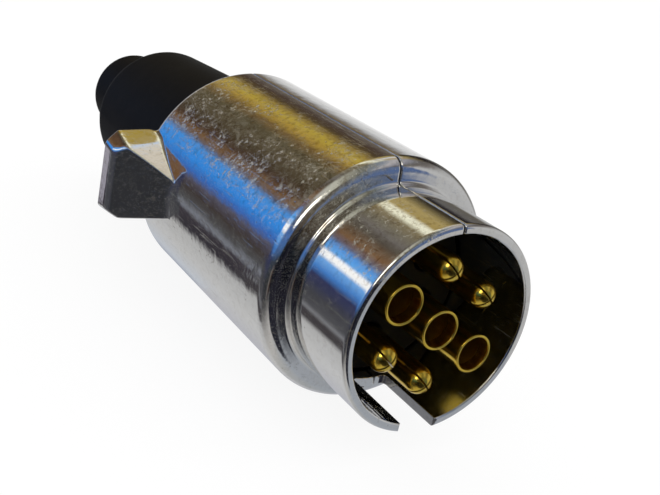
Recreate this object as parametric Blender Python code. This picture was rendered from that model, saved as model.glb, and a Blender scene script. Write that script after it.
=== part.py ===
"""Seven-pole metal trailer plug: a two-half plated shell around an insulating carrier with seven
contacts, a cable clamp, its screws and a rubber cable boot.

Frame: +Y runs from the mating end towards the cable, +Z is up, and the keyway in the nose faces -Z.
The origin is on the plug's axis in the plane of the mating shoulder, which is also the front face
of the carrier and the bottom of the tube contacts' bores.

Sizes are in millimetres; the scene is in metres. The split frame leans with the plane between the
shell halves: u is that plane's normal, w runs along it upwards, and y is shared. Names ending in
_R are radii; those ending in _Y, _U or _W are places along those axes.
"""

import math

import bmesh
import bpy
from mathutils import Matrix

MM = 0.001

# ---- shell ----
NOSE_R = 19.1            # outside of the nose that enters the socket
NOSE_BORE_R = 17.4
NOSE_LENGTH = 18.2       # rim to shoulder
ROOT_FILLET = 0.7        # at the foot of the nose
RIM_ROUND = 0.7          # on the rim's outer edge
RIM_BEVEL = 0.2          # on the rim's inner edge
BODY_R = 23.5
BODY_LENGTH = 57.0       # shoulder to rear face
FRONT_ROUND = 2.3        # on the shoulder's outer edge
REAR_ROUND = 2.0         # on the rear outer edge
CAVITY_R = 20.7          # wiring room
REAR_OPENING_R = 19.2
GAP = 0.3                # between touching pieces
SPLIT_DEGREES = 4.5      # the split plane leans this far from the keyway's plane
KEYWAY_HALF_WIDTH = 3.7
KEYWAY_LENGTH = 15.3     # from the rim

CARRIER_GROOVE_FRONT_Y = 4.0
CARRIER_GROOVE_REAR_Y = 8.6
CARRIER_GROOVE_R = 20.3
CARRIER_RIB_WIDTH = 3.0  # rib behind the carrier's groove
BOOT_GROOVE_FRONT_Y = 49.7
BOOT_GROOVE_REAR_Y = 53.3
BOOT_GROOVE_R = 21.0
BOOT_RIB_WIDTH = 2.5     # rib in front of the boot's groove
BOOT_RIB_R = 18.2        # its inside

BOSS_R = 3.0             # round side of a screw boss
BOSS_OUTWARD = 3.4       # from the screw's axis to the boss's flat outer side
BOSS_REACH = 13.0        # along u, before it is trimmed within the wall
BOSS_OVERLAP = 0.4       # past the split, before the half is cut off
KEY_HALF_WIDTH = 1.5     # key that stops the carrier from turning
CRADLE_HALF_LENGTH = 2.5
CRADLE_HALF_HEIGHT = 13.6
CRADLE_TOP_U = -1.0

# ---- retaining lug ----
LUG_TIP_X = -31.8        # the land
LUG_SIDE_X = -29.8       # where the sides start to lean in towards the land
LUG_ROOT_X = -21.3       # inside the wall
LUG_RAMP_Y = 40.2        # where the ramp leaves the body
LUG_BLOCK_Y = 51.4       # near the end of the ramp

# ---- carrier ----
CARRIER_REAR_Y = 18.0
CARRIER_REAR_R = 14.6

# ---- contacts ----
PITCH_R = 10.4           # circle of the six outer contacts
TUBE_R = 3.7
TUBE_BORE_R = 2.55       # takes the socket's 5 mm pins
TUBE_LEAD_R = 2.95       # end of the wider lead-in behind the mouth
TUBE_LEAD_LENGTH = 3.4
TUBE_MOUTH_Y = -17.6
TUBE_SHOULDER_Y = 2.0    # where the tube narrows to its shank
SHANK_R = 2.6
PIN_R = 2.5              # 5 mm split pins
PIN_TIP_Y = -17.8
PIN_DOME = 1.9
PIN_SLOT_WIDTH = 0.6
PIN_SLOT_DEPTH = 9.0
BARREL_R = 3.0
BARREL_CHAMFER = 0.4
BARREL_END_Y = 29.0
CENTRE_BARREL_END_Y = 38.0
WIRE_BORE_R = 1.5
WIRE_BORE_PAST_SCREW = 4.0
TERMINAL_INSET = 4.3     # from a barrel's end to its screw
TERMINAL_SCREW_R = 1.1
TERMINAL_SCREW_TIP = 1.6    # from the barrel's axis
TERMINAL_SCREW_TOP = 5.0    # from the barrel's axis

# ---- screws ----
THREAD_CLEARANCE = 0.2
SLOT_DEPTH = 0.8
FRONT_SCREW_Y = 16.5
REAR_SCREW_Y = 43.0
SHELL_SCREW_W = 18.2
SHELL_SCREW_R = 1.5
SHELL_HEAD_R = 2.6
SHELL_SEAT_U = 6.8       # underside of the head
CLAMP_Y = 43.0
CLAMP_SCREW_W = 10.6
CLAMP_SCREW_R = 1.3

# ---- clamp saddle ----
SADDLE_HALF_LENGTH = 2.4
SADDLE_HALF_HEIGHT = 13.5
SADDLE_U = 0.8           # underside of the ears
SADDLE_THICKNESS = 1.6
ARCH_HALF_WIDTH = 5.6
ARCH_RISE = 4.8

# ---- boot ----
CABLE_R = 5.5
BOOT_FLANGE_R = 20.7
BOOT_FLANGE_BORE_R = 15.5
BOOT_NECK_R = 18.8
BOOT_NECK_END_Y = 62.0
BOOT_MID_R = 16.7
BOOT_MID_ROUND = 5.0
BOOT_MID_END_Y = 104.6
BOOT_TAIL_R = 10.7
BOOT_TAIL_ROUND = 2.6
BOOT_END_Y = 124.9

ROUND = 48               # facets on the large round pieces
CUTTER_TURN = 3.7        # degrees a cutter's facets are turned, so that no two edges coincide
PIN_TURN = 7             # degrees a pin's facets are turned
SHARP_DEGREES = 30       # edges bent more than this are shaded sharp

CHROME = dict(colour=(0.78, 0.79, 0.80), metallic=1.0, roughness=0.12)
BRASS = dict(colour=(0.80, 0.60, 0.22), metallic=1.0, roughness=0.25)
STEEL = dict(colour=(0.62, 0.62, 0.60), metallic=1.0, roughness=0.30)
BLACK = dict(colour=(0.012, 0.012, 0.012), metallic=0.0, roughness=0.40)
RUBBER = dict(colour=(0.015, 0.015, 0.017), metallic=0.0, roughness=0.65)

# Tag, place, y, w
SHELL_SCREWS = (
    ("00", "front_upper", FRONT_SCREW_Y, SHELL_SCREW_W),
    ("01", "front_lower", FRONT_SCREW_Y, -SHELL_SCREW_W),
    ("10", "rear_upper", REAR_SCREW_Y, SHELL_SCREW_W),
    ("11", "rear_lower", REAR_SCREW_Y, -SHELL_SCREW_W),
)
# Place, w
CLAMP_SCREWS = (("upper", CLAMP_SCREW_W), ("lower", -CLAMP_SCREW_W))

# Contact sites: distance from the plug's axis, and the angle in degrees from +X towards +Z
# of both the site and its terminal screw
TUBES = {"centre": (0.0, 60), "left": (PITCH_R, 150), "right": (PITCH_R, -30)}
PINS = {
    "upper_right": (PITCH_R, 30),
    "upper_left": (PITCH_R, 90),
    "lower_left": (PITCH_R, 210),
    "lower_right": (PITCH_R, 270),
}

# From the split frame to the plug's frame
SPLIT = Matrix.Rotation(-math.radians(SPLIT_DEGREES), 4, "Y")
# Turns a piece made along +Y so that it runs along +X
ALONG_U = Matrix.Rotation(-math.pi / 2, 4, "Z")


# ---- objects ----
def material(name, colour, metallic, roughness):
    look = bpy.data.materials.new(name)
    look.use_nodes = True
    inputs = look.node_tree.nodes["Principled BSDF"].inputs
    inputs["Base Color"].default_value = (*colour, 1)
    inputs["Metallic"].default_value = metallic
    inputs["Roughness"].default_value = roughness
    look.diffuse_color = (*colour, 1)
    return look


def make_object(name, form):
    """One object from a bmesh in millimetres."""
    bmesh.ops.recalc_face_normals(form, faces=form.faces)
    bmesh.ops.scale(form, vec=(MM, MM, MM), verts=form.verts)
    mesh = bpy.data.meshes.new(name)
    form.to_mesh(mesh)
    form.free()
    obj = bpy.data.objects.new(name, mesh)
    bpy.context.scene.collection.objects.link(obj)
    return obj


def solid(name, form, look):
    obj = make_object(name, form)
    obj.data.materials.append(material(name + "_look", **look))
    obj.data.shade_smooth()
    obj.data.set_sharp_from_angle(angle=math.radians(SHARP_DEGREES))
    return obj


def helper(name, form):
    obj = make_object(name, form)
    obj.hide_render = True
    obj.display_type = "WIRE"
    return obj


def boolean(obj, tool, operation):
    modifier = obj.modifiers.new(operation.lower() + "_" + tool.name, "BOOLEAN")
    modifier.operation = operation
    modifier.object = tool


def cut(obj, name, form):
    boolean(obj, helper(name, form), "DIFFERENCE")


# ---- forms ----
def lathe(profile, steps, ring=False, turn=0.0):
    """Spin (radius, y) points about Y, the first facet turned by some degrees. A ring is a closed
    loop; any other profile starts and ends on the axis."""
    form = bmesh.new()
    verts = [form.verts.new((radius, y, 0)) for radius, y in profile]
    edges = [form.edges.new(pair) for pair in zip(verts, verts[1:])]
    if ring:
        edges.append(form.edges.new((verts[-1], verts[0])))
    bmesh.ops.spin(
        form, geom=verts + edges, cent=(0, 0, 0), axis=(0, 1, 0),
        angle=2 * math.pi, steps=steps, use_merge=True,
    )
    bmesh.ops.remove_doubles(form, verts=form.verts, dist=1e-4)
    rotation = Matrix.Rotation(math.radians(turn), 3, "Y")
    bmesh.ops.rotate(form, verts=form.verts, cent=(0, 0, 0), matrix=rotation)
    return form


def rod(radius, start, end, steps):
    profile = [(0, start), (radius, start), (radius, end), (0, end)]
    return lathe(profile, steps, turn=CUTTER_TURN)


def box(x0, x1, y0, y1, z0, z1):
    form = bmesh.new()
    bmesh.ops.create_cube(form, size=1)
    bmesh.ops.scale(form, vec=(x1 - x0, y1 - y0, z1 - z0), verts=form.verts)
    centre = ((x0 + x1) / 2, (y0 + y1) / 2, (z0 + z1) / 2)
    bmesh.ops.translate(form, vec=centre, verts=form.verts)
    return form


def extrude_y(outline, start, length):
    """A prism along +Y from a loop of (x, z) points."""
    form = bmesh.new()
    face = form.faces.new([form.verts.new((x, start, z)) for x, z in outline])
    extruded = bmesh.ops.extrude_face_region(form, geom=[face])["geom"]
    far_verts = [part for part in extruded if isinstance(part, bmesh.types.BMVert)]
    bmesh.ops.translate(form, vec=(0, length, 0), verts=far_verts)
    return form


def moved(form, matrix):
    bmesh.ops.transform(form, matrix=matrix, verts=form.verts)
    return form


def across_split(form, y, w):
    """Lay a form made along +Y along the split plane's normal, through (y, w)."""
    return moved(moved(form, ALONG_U), SPLIT @ Matrix.Translation((0, y, w)))


def arc(centre_r, centre_y, radius, start, end, steps):
    """(radius, y) points on an arc, angles in degrees from +radius towards +y."""
    angles = [math.radians(start + (end - start) * i / steps) for i in range(steps + 1)]
    return [(centre_r + radius * math.cos(a), centre_y + radius * math.sin(a)) for a in angles]


# ---- shell halves ----
def shell_profile():
    rib_rear = CARRIER_GROOVE_REAR_Y + CARRIER_RIB_WIDTH
    rib_front = BOOT_GROOVE_FRONT_Y - BOOT_RIB_WIDTH
    return (
        [(NOSE_BORE_R + RIM_BEVEL, -NOSE_LENGTH)]
        + arc(NOSE_R - RIM_ROUND, -NOSE_LENGTH + RIM_ROUND, RIM_ROUND, 270, 360, 2)
        + arc(NOSE_R + ROOT_FILLET, -ROOT_FILLET, ROOT_FILLET, 180, 90, 3)
        + arc(BODY_R - FRONT_ROUND, FRONT_ROUND, FRONT_ROUND, 270, 360, 4)
        + arc(BODY_R - REAR_ROUND, BODY_LENGTH - REAR_ROUND, REAR_ROUND, 0, 90, 4)
        + [
            (REAR_OPENING_R, BODY_LENGTH),
            (REAR_OPENING_R, BOOT_GROOVE_REAR_Y),
            (BOOT_GROOVE_R, BOOT_GROOVE_REAR_Y),
            (BOOT_GROOVE_R, BOOT_GROOVE_FRONT_Y),
            (BOOT_RIB_R, BOOT_GROOVE_FRONT_Y),
            (BOOT_RIB_R, rib_front),
            (CAVITY_R, rib_front),
            (CAVITY_R, rib_rear),
            (NOSE_BORE_R, rib_rear),
            (NOSE_BORE_R, CARRIER_GROOVE_REAR_Y),
            (CARRIER_GROOVE_R, CARRIER_GROOVE_REAR_Y),
            (CARRIER_GROOVE_R, CARRIER_GROOVE_FRONT_Y),
            (NOSE_BORE_R, CARRIER_GROOVE_FRONT_Y),
            (NOSE_BORE_R, -NOSE_LENGTH + RIM_BEVEL),
        ]
    )


def lug():
    """Ramp, land and flat rear face that a socket's lid hooks behind."""
    # x, y, height above the plug's axis, depth below it
    stations = (
        (-21.9, LUG_RAMP_Y - 1.0, 3.7, 3.6),
        (-23.1, LUG_RAMP_Y, 3.85, 3.7),
        (LUG_ROOT_X, LUG_RAMP_Y, 3.7, 3.6),
        (LUG_ROOT_X, LUG_BLOCK_Y + 0.8, 8.95, 8.5),
        (LUG_ROOT_X, BODY_LENGTH, 9.75, 9.3),
        (LUG_SIDE_X, LUG_BLOCK_Y - 1.2, 7.9, 7.6),
        (-30.5, LUG_BLOCK_Y - 0.2, 6.9, 7.1),
        (LUG_TIP_X, LUG_BLOCK_Y + 0.7, 6.4, 7.0),
        (LUG_SIDE_X, BODY_LENGTH, 8.75, 8.4),
        (LUG_TIP_X, BODY_LENGTH, 6.6, 7.2),
    )
    form = bmesh.new()
    for x, y, upper, lower in stations:
        form.verts.new((x, y, upper))
        form.verts.new((x, y, -lower))
    bmesh.ops.convex_hull(form, input=form.verts)
    loose = [vert for vert in form.verts if not vert.link_faces]
    bmesh.ops.delete(form, geom=loose, context="VERTS")
    return form


def boss(y, w, side):
    """A bar along u on one side of the split, round towards the plug's axis."""
    outward = 1 if w > 0 else -1
    ends = (-BOSS_OVERLAP, BOSS_REACH) if side > 0 else (-BOSS_REACH, BOSS_OVERLAP)
    angles = [math.radians(a) for a in range(180, 361, 30)]
    outline = [(BOSS_R * math.cos(a), BOSS_R * math.sin(a)) for a in angles]
    outline += [(BOSS_R, BOSS_OUTWARD), (-BOSS_R, BOSS_OUTWARD)]
    form = bmesh.new()
    low, high = (
        [form.verts.new((u, y + along, w + outward * out)) for along, out in outline]
        for u in ends
    )
    form.faces.new(low)
    form.faces.new(high[::-1])
    count = len(low)
    for i in range(count):
        after = (i + 1) % count
        form.faces.new((low[i], high[i], high[after], low[after]))
    return moved(form, SPLIT)


def add_within_wall(shell, name, form, within_wall):
    """Join a form to the shell, trimmed so that it ends inside the wall."""
    tool = helper(name, form)
    boolean(tool, within_wall, "INTERSECT")
    boolean(shell, tool, "UNION")


def add_left_features(shell, within_wall):
    """Lug, carrier key and the cradle under the cable."""
    boolean(shell, helper("lug_solid", lug()), "UNION")
    overlap = 0.4  # into the groove's side walls
    key = box(
        -20.6, -17.9,
        CARRIER_GROOVE_FRONT_Y - overlap, CARRIER_GROOVE_REAR_Y + overlap,
        -KEY_HALF_WIDTH, KEY_HALF_WIDTH,
    )
    boolean(shell, helper("carrier_key", key), "UNION")
    cradle = box(
        -24, CRADLE_TOP_U,
        CLAMP_Y - CRADLE_HALF_LENGTH, CLAMP_Y + CRADLE_HALF_LENGTH,
        -CRADLE_HALF_HEIGHT, CRADLE_HALF_HEIGHT,
    )
    add_within_wall(shell, "clamp_cradle", moved(cradle, SPLIT), within_wall)


def shell_screw_hole(side):
    """Stepped hole with room for the head on the right, threaded hole on the left."""
    if side < 0:
        return rod(SHELL_SCREW_R + THREAD_CLEARANCE, -10.2, 2, steps=16)
    hole_r = SHELL_SCREW_R + GAP
    head_room_r = SHELL_HEAD_R + GAP
    seat = SHELL_SEAT_U - GAP
    profile = [
        (0, -2), (hole_r, -2), (hole_r, seat), (head_room_r, seat), (head_room_r, 26), (0, 26),
    ]
    return lathe(profile, 16, turn=CUTTER_TURN)


def build_shell(name, side, within_wall):
    """One half: side is 1 for the right (+u) and -1 for the left."""
    shell = solid(name, lathe(shell_profile(), ROUND, ring=True), CHROME)
    if side < 0:
        add_left_features(shell, within_wall)
    for tag, _, y, w in SHELL_SCREWS:
        add_within_wall(shell, f"{name}_{tag}_boss", boss(y, w, side), within_wall)

    u_range = (GAP / 2, 40) if side > 0 else (-60, -GAP / 2)
    half = moved(box(*u_range, -60, 140, -60, 60), SPLIT)
    boolean(shell, helper(f"{name}_half", half), "INTERSECT")
    keyway = box(
        -KEYWAY_HALF_WIDTH, KEYWAY_HALF_WIDTH,
        -NOSE_LENGTH - 2, -NOSE_LENGTH + KEYWAY_LENGTH,
        -NOSE_R - 3, -11,
    )
    cut(shell, f"{name}_keyway", keyway)
    for tag, _, y, w in SHELL_SCREWS:
        cut(shell, f"{name}_hole_{tag}", across_split(shell_screw_hole(side), y, w))
    if side < 0:
        cut(shell, "cradle_arc", rod(CABLE_R, CLAMP_Y - 4, CLAMP_Y + 4, steps=24))
        for i, (_, w) in enumerate(CLAMP_SCREWS):
            hole = rod(CLAMP_SCREW_R + THREAD_CLEARANCE, -13.5, 1, steps=14)
            cut(shell, f"cradle_hole_{i}", across_split(hole, CLAMP_Y, w))


def build_shells():
    wall_middle_r = (CAVITY_R + BODY_R) / 2
    within_wall = helper("within_wall", rod(wall_middle_r, 5, BODY_LENGTH - 3, ROUND))
    build_shell("left_shell", -1, within_wall)
    build_shell("right_shell", 1, within_wall)


# ---- contact carrier ----
def site_frame(site, y=0, unit=1):
    distance, degrees = site
    angle = math.radians(degrees)
    x = distance * math.cos(angle)
    z = distance * math.sin(angle)
    return Matrix.Translation((x * unit, y * unit, z * unit))


def build_carrier():
    body_r = NOSE_BORE_R - GAP
    flange_r = CARRIER_GROOVE_R - GAP
    flange_front = CARRIER_GROOVE_FRONT_Y + GAP
    flange_rear = CARRIER_GROOVE_REAR_Y - GAP
    profile = [
        (0, 0), (body_r, 0),
        (body_r, flange_front), (flange_r, flange_front),
        (flange_r, flange_rear), (body_r, flange_rear),
        (body_r, CARRIER_GROOVE_REAR_Y + 2.4),
        (CARRIER_REAR_R, CARRIER_GROOVE_REAR_Y + 3.2),
        (CARRIER_REAR_R, CARRIER_REAR_Y), (0, CARRIER_REAR_Y),
    ]
    carrier = solid("contact_carrier", lathe(profile, ROUND), BLACK)

    step = TUBE_SHOULDER_Y + GAP
    tube_hole = [
        (0, -1), (TUBE_R + GAP, -1), (TUBE_R + GAP, step),
        (SHANK_R + GAP, step), (SHANK_R + GAP, 20), (0, 20),
    ]
    for key, site in TUBES.items():
        hole = moved(lathe(tube_hole, 18, turn=CUTTER_TURN), site_frame(site))
        cut(carrier, f"carrier_tube_hole_{key}", hole)
    for key, site in PINS.items():
        hole = moved(rod(PIN_R + GAP, -1, 20, steps=16), site_frame(site))
        cut(carrier, f"carrier_pin_hole_{key}", hole)
    slot_half = KEY_HALF_WIDTH + GAP
    cut(carrier, "carrier_key_slot", box(-22, -17.6, 2, 9.6, -slot_half, slot_half))


# ---- screws ----
def slotted_screw(name, profile, steps, slot_name, slot, place):
    """Screw along its own x axis, on which its origin lies, with a slot in its outer end."""
    screw = solid(name, moved(lathe(profile, steps), ALONG_U), STEEL)
    slot_tool = helper(slot_name, slot)
    boolean(screw, slot_tool, "DIFFERENCE")
    screw.matrix_world = place
    slot_tool.matrix_world = place


def headed_screw(name, y, w, radius, tip, seat, head_r, head_height, slot_half):
    """Screw along the split normal, head outwards."""
    top = seat + head_height
    profile = [
        (0, tip), (radius - 0.4, tip), (radius, tip + 0.5), (radius, seat),
        (head_r, seat), (head_r, top - 0.5), (head_r - 0.5, top), (0, top),
    ]
    slot = box(top - SLOT_DEPTH, top + 2, -slot_half, slot_half, -5, 5)
    place = SPLIT @ Matrix.Translation((0, y * MM, w * MM))
    slotted_screw(name, profile, 14, f"{name}_slot", slot, place)


def build_headed_screws():
    for _, place, y, w in SHELL_SCREWS:
        headed_screw(
            f"shell_screw_{place}", y, w, radius=SHELL_SCREW_R, tip=-8.5, seat=SHELL_SEAT_U,
            head_r=SHELL_HEAD_R, head_height=2.0, slot_half=0.4,
        )
    for place, w in CLAMP_SCREWS:
        headed_screw(
            f"clamp_screw_{place}", CLAMP_Y, w, radius=CLAMP_SCREW_R, tip=-9.0, seat=2.7,
            head_r=2.4, head_height=1.7, slot_half=0.35,
        )


# ---- contacts and their terminal screws ----
def terminal_frame(site, end, unit=1):
    """Where a terminal screw's axis, its local x, leaves the axis of the barrel."""
    turn = Matrix.Rotation(-math.radians(site[1]), 4, "Y")
    return site_frame(site, end - TERMINAL_INSET, unit) @ turn


def add_terminal(contact, key, site, end):
    """Wire bore from the rear, threaded hole into it, and the grub screw that turns there."""
    bore_start = end - TERMINAL_INSET - WIRE_BORE_PAST_SCREW
    bore = moved(rod(WIRE_BORE_R, bore_start, end + 2, steps=14), site_frame(site))
    cut(contact, f"{key}_wire_bore", bore)
    hole = moved(rod(TERMINAL_SCREW_R + THREAD_CLEARANCE, 0.5, 5, steps=12), ALONG_U)
    cut(contact, f"{key}_screw_hole", moved(hole, terminal_frame(site, end)))

    tip, top = TERMINAL_SCREW_TIP, TERMINAL_SCREW_TOP
    profile = [
        (0, tip), (TERMINAL_SCREW_R - 0.4, tip), (TERMINAL_SCREW_R, tip + 0.4),
        (TERMINAL_SCREW_R, top), (0, top),
    ]
    slot = box(top - SLOT_DEPTH, top + 1, -0.3, 0.3, -3, 3)
    place = terminal_frame(site, end, unit=MM)
    slotted_screw(f"terminal_screw_{key}", profile, 12, f"terminal_slot_{key}", slot, place)


def barrel_profile(end):
    start = CARRIER_REAR_Y + GAP
    return [
        (BARREL_R, start), (BARREL_R, end - BARREL_CHAMFER), (BARREL_R - BARREL_CHAMFER, end),
        (0, end),
    ]


def build_tube(key, site):
    end = CENTRE_BARREL_END_Y if key == "centre" else BARREL_END_Y
    mouth = TUBE_MOUTH_Y
    lead_end = mouth + TUBE_LEAD_LENGTH
    profile = [
        (0, 0.0), (2.0, 0.0), (TUBE_BORE_R, -0.6),
        (TUBE_BORE_R, lead_end + 0.8), (TUBE_LEAD_R, lead_end),
        (TUBE_R - 0.5, mouth + 0.1), (TUBE_R - 0.35, mouth),
        (TUBE_R - 0.15, mouth), (TUBE_R, mouth + 0.25),
        (TUBE_R, TUBE_SHOULDER_Y), (SHANK_R, TUBE_SHOULDER_Y),
        (SHANK_R, CARRIER_REAR_Y + GAP),
    ] + barrel_profile(end)
    tube = solid(f"tube_contact_{key}", moved(lathe(profile, 20), site_frame(site)), BRASS)
    add_terminal(tube, f"tube_{key}", site, end)


def cross_cut():
    """The two crossed saw cuts that split a pin into four leaves."""
    near, far = PIN_SLOT_WIDTH / 2, 4.0
    outline = [
        (near, near), (near, far), (-near, far), (-near, near), (-far, near), (-far, -near),
        (-near, -near), (-near, -far), (near, -far), (near, -near), (far, -near), (far, near),
    ]
    lead = 2  # in front of the tip
    form = extrude_y(outline, PIN_TIP_Y - lead, PIN_SLOT_DEPTH + lead)
    return moved(form, Matrix.Rotation(math.radians(45), 4, "Y"))


def build_pin(key, site):
    angles = [math.radians(a) for a in (0, 22.5, 45, 67.5, 90)]
    dome = [(PIN_R * math.sin(a), PIN_TIP_Y + PIN_DOME * (1 - math.cos(a))) for a in angles]
    profile = dome + [(PIN_R, CARRIER_REAR_Y + GAP)] + barrel_profile(BARREL_END_Y)
    form = moved(lathe(profile, 18, turn=PIN_TURN), site_frame(site))
    pin = solid(f"pin_contact_{key}", form, BRASS)
    cut(pin, f"pin_{key}_cross", moved(cross_cut(), site_frame(site)))
    add_terminal(pin, f"pin_{key}", site, BARREL_END_Y)


# ---- cable clamp saddle ----
def arch(half_width, foot, degrees):
    """(u, w) points over the cable."""
    angles = [math.radians(a) for a in degrees]
    return [(foot + ARCH_RISE * math.sin(a), half_width * math.cos(a)) for a in angles]


def build_saddle():
    """Bent strap: flat ears on both sides of an arch over the cable."""
    under, over = SADDLE_U, SADDLE_U + SADDLE_THICKNESS
    outline = (
        [(under, SADDLE_HALF_HEIGHT)]
        + arch(ARCH_HALF_WIDTH, under, range(0, 181, 20))
        + [(under, -SADDLE_HALF_HEIGHT), (over, -SADDLE_HALF_HEIGHT)]
        + arch(ARCH_HALF_WIDTH + SADDLE_THICKNESS, over, range(180, -1, -20))
        + [(over, SADDLE_HALF_HEIGHT)]
    )
    form = extrude_y(outline, CLAMP_Y - SADDLE_HALF_LENGTH, 2 * SADDLE_HALF_LENGTH)
    strap = solid("clamp_saddle", moved(form, SPLIT), STEEL)
    for i, (_, w) in enumerate(CLAMP_SCREWS):
        hole = rod(CLAMP_SCREW_R + GAP, -1, 5, steps=14)
        cut(strap, f"saddle_hole_{i}", across_split(hole, CLAMP_Y, w))


# ---- cable boot ----
def build_boot():
    flange_front = BOOT_GROOVE_FRONT_Y + GAP
    flange_rear = BOOT_GROOVE_REAR_Y - GAP
    mid_round, tail_round = BOOT_MID_ROUND, BOOT_TAIL_ROUND
    outside = (
        [
            (BOOT_FLANGE_BORE_R, flange_front), (BOOT_FLANGE_R, flange_front),
            (BOOT_FLANGE_R, flange_rear), (BOOT_NECK_R, flange_rear),
            (BOOT_NECK_R, BOOT_NECK_END_Y),
        ]
        + arc(BOOT_MID_R - mid_round, BOOT_MID_END_Y - mid_round, mid_round, 5, 80, 5)
        + [(BOOT_TAIL_R, BOOT_MID_END_Y + 0.6)]
        + arc(BOOT_TAIL_R - tail_round, BOOT_END_Y - tail_round, tail_round, 0, 90, 4)
    )
    inside = [
        (CABLE_R, BOOT_END_Y), (CABLE_R, BOOT_MID_END_Y - 2),
        (13.2, BOOT_MID_END_Y - 7), (15.0, 60),
    ]
    solid("cable_boot", lathe(outside + inside, 40, ring=True), RUBBER)


for old in list(bpy.data.objects):
    bpy.data.objects.remove(old, do_unlink=True)

build_shells()
build_carrier()
for key, site in TUBES.items():
    build_tube(key, site)
for key, site in PINS.items():
    build_pin(key, site)
build_headed_screws()
build_saddle()
build_boot()
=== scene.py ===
import functools
import math

import bmesh
import bpy
import numpy as np
from mathutils import Matrix, Vector


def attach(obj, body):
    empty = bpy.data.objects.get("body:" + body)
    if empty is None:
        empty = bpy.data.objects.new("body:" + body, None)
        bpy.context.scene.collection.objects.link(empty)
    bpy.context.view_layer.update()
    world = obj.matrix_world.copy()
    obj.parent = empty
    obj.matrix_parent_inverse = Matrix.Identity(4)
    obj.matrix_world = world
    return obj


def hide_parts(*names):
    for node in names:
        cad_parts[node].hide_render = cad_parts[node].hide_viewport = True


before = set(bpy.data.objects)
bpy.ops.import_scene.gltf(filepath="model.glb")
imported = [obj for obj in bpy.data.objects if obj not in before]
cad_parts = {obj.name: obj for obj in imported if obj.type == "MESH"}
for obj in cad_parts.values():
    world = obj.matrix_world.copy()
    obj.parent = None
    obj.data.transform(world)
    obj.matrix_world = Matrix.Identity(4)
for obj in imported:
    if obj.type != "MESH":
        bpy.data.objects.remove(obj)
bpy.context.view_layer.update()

MM = 0.001
IDENTITY = Matrix.Identity(4)
ALONG_X = Matrix.Rotation(-math.pi / 2, 4, "Z")  # turns +Y to +X
LEFT, RIGHT = -1, 1

# the plane between the shell halves leans to the left at its top
SPLIT_DEG = 4.5
SPLIT = Matrix.Rotation(-math.radians(SPLIT_DEG), 4, "Y")
HALF_GAP = 0.15

NOSE_R, NOSE_BORE_R, RIM_Y = 19.1, 17.4, -18.2
BODY_R, BODY_END = 23.5, 57.0

# screw places in the split frame
SHELL_SCREW_YS = (16.5, 43.0)
SHELL_SCREW_ZS = (18.2, -18.2)
CLAMP_Y = 43.0
CLAMP_SCREW_ZS = (10.6, -10.6)

# contact places (x, z)
PITCH_R = 10.4
CENTRE = (0.0, 0.0)


def on_pitch(degrees):
    angle = math.radians(degrees)
    return PITCH_R * math.cos(angle), PITCH_R * math.sin(angle)


TUBES = {"centre": CENTRE, "left": on_pitch(150), "right": on_pitch(-30)}
PINS = {
    "upper_right": on_pitch(30),
    "upper_left": on_pitch(90),
    "lower_left": on_pitch(210),
    "lower_right": on_pitch(270),
}

# round cutters are turned a little so that their edges don't line up with those of the parts
CUTTER_TURN = 1.9


# --- mesh tools ---
def linked(name, mesh):
    obj = bpy.data.objects.new(name, mesh)
    bpy.context.scene.collection.objects.link(obj)
    return obj


def object_of(name, verts, faces):
    """A closed mesh object from points in millimetres."""
    mesh = bpy.data.meshes.new(name)
    mesh.from_pydata([tuple(v) for v in np.asarray(verts, float) * MM], [], faces)
    bm = bmesh.new()
    bm.from_mesh(mesh)
    bmesh.ops.remove_doubles(bm, verts=bm.verts, dist=1e-7)
    bmesh.ops.recalc_face_normals(bm, faces=bm.faces)
    bm.to_mesh(mesh)
    bm.free()
    mesh.update()
    return linked(name, mesh)


def object_from(name, bm, matrix=None):
    """An object from a bmesh in millimetres, which is freed."""
    if matrix is not None:
        bmesh.ops.transform(bm, matrix=matrix, verts=bm.verts)
    bmesh.ops.recalc_face_normals(bm, faces=bm.faces)
    bmesh.ops.scale(bm, vec=(MM, MM, MM), verts=bm.verts)
    mesh = bpy.data.meshes.new(name)
    bm.to_mesh(mesh)
    bm.free()
    return linked(name, mesh)


def apply_modifiers(obj):
    bpy.context.view_layer.update()
    evaluated = obj.evaluated_get(bpy.context.evaluated_depsgraph_get())
    made = bpy.data.meshes.new_from_object(evaluated)
    old = obj.data
    obj.modifiers.clear()
    obj.data = made
    bpy.data.meshes.remove(old)


def cut(obj, *tools, operation="DIFFERENCE"):
    """Applies a Boolean with each tool, and removes the tools."""
    for tool in tools:
        boolean = obj.modifiers.new("b", "BOOLEAN")
        boolean.operation = operation
        boolean.object = tool
        boolean.solver = "EXACT"
    apply_modifiers(obj)
    for tool in tools:
        bpy.data.objects.remove(tool, do_unlink=True)
    return obj


def shade(obj, sharp):
    """Smooth shading, except at edges sharper than the given degrees."""
    obj.data.shade_smooth()
    obj.data.set_sharp_from_angle(angle=math.radians(sharp))
    weighted = obj.modifiers.new("weighted", "WEIGHTED_NORMAL")
    weighted.keep_sharp = True
    weighted.mode = "FACE_AREA"
    weighted.weight = 60
    return obj


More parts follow.
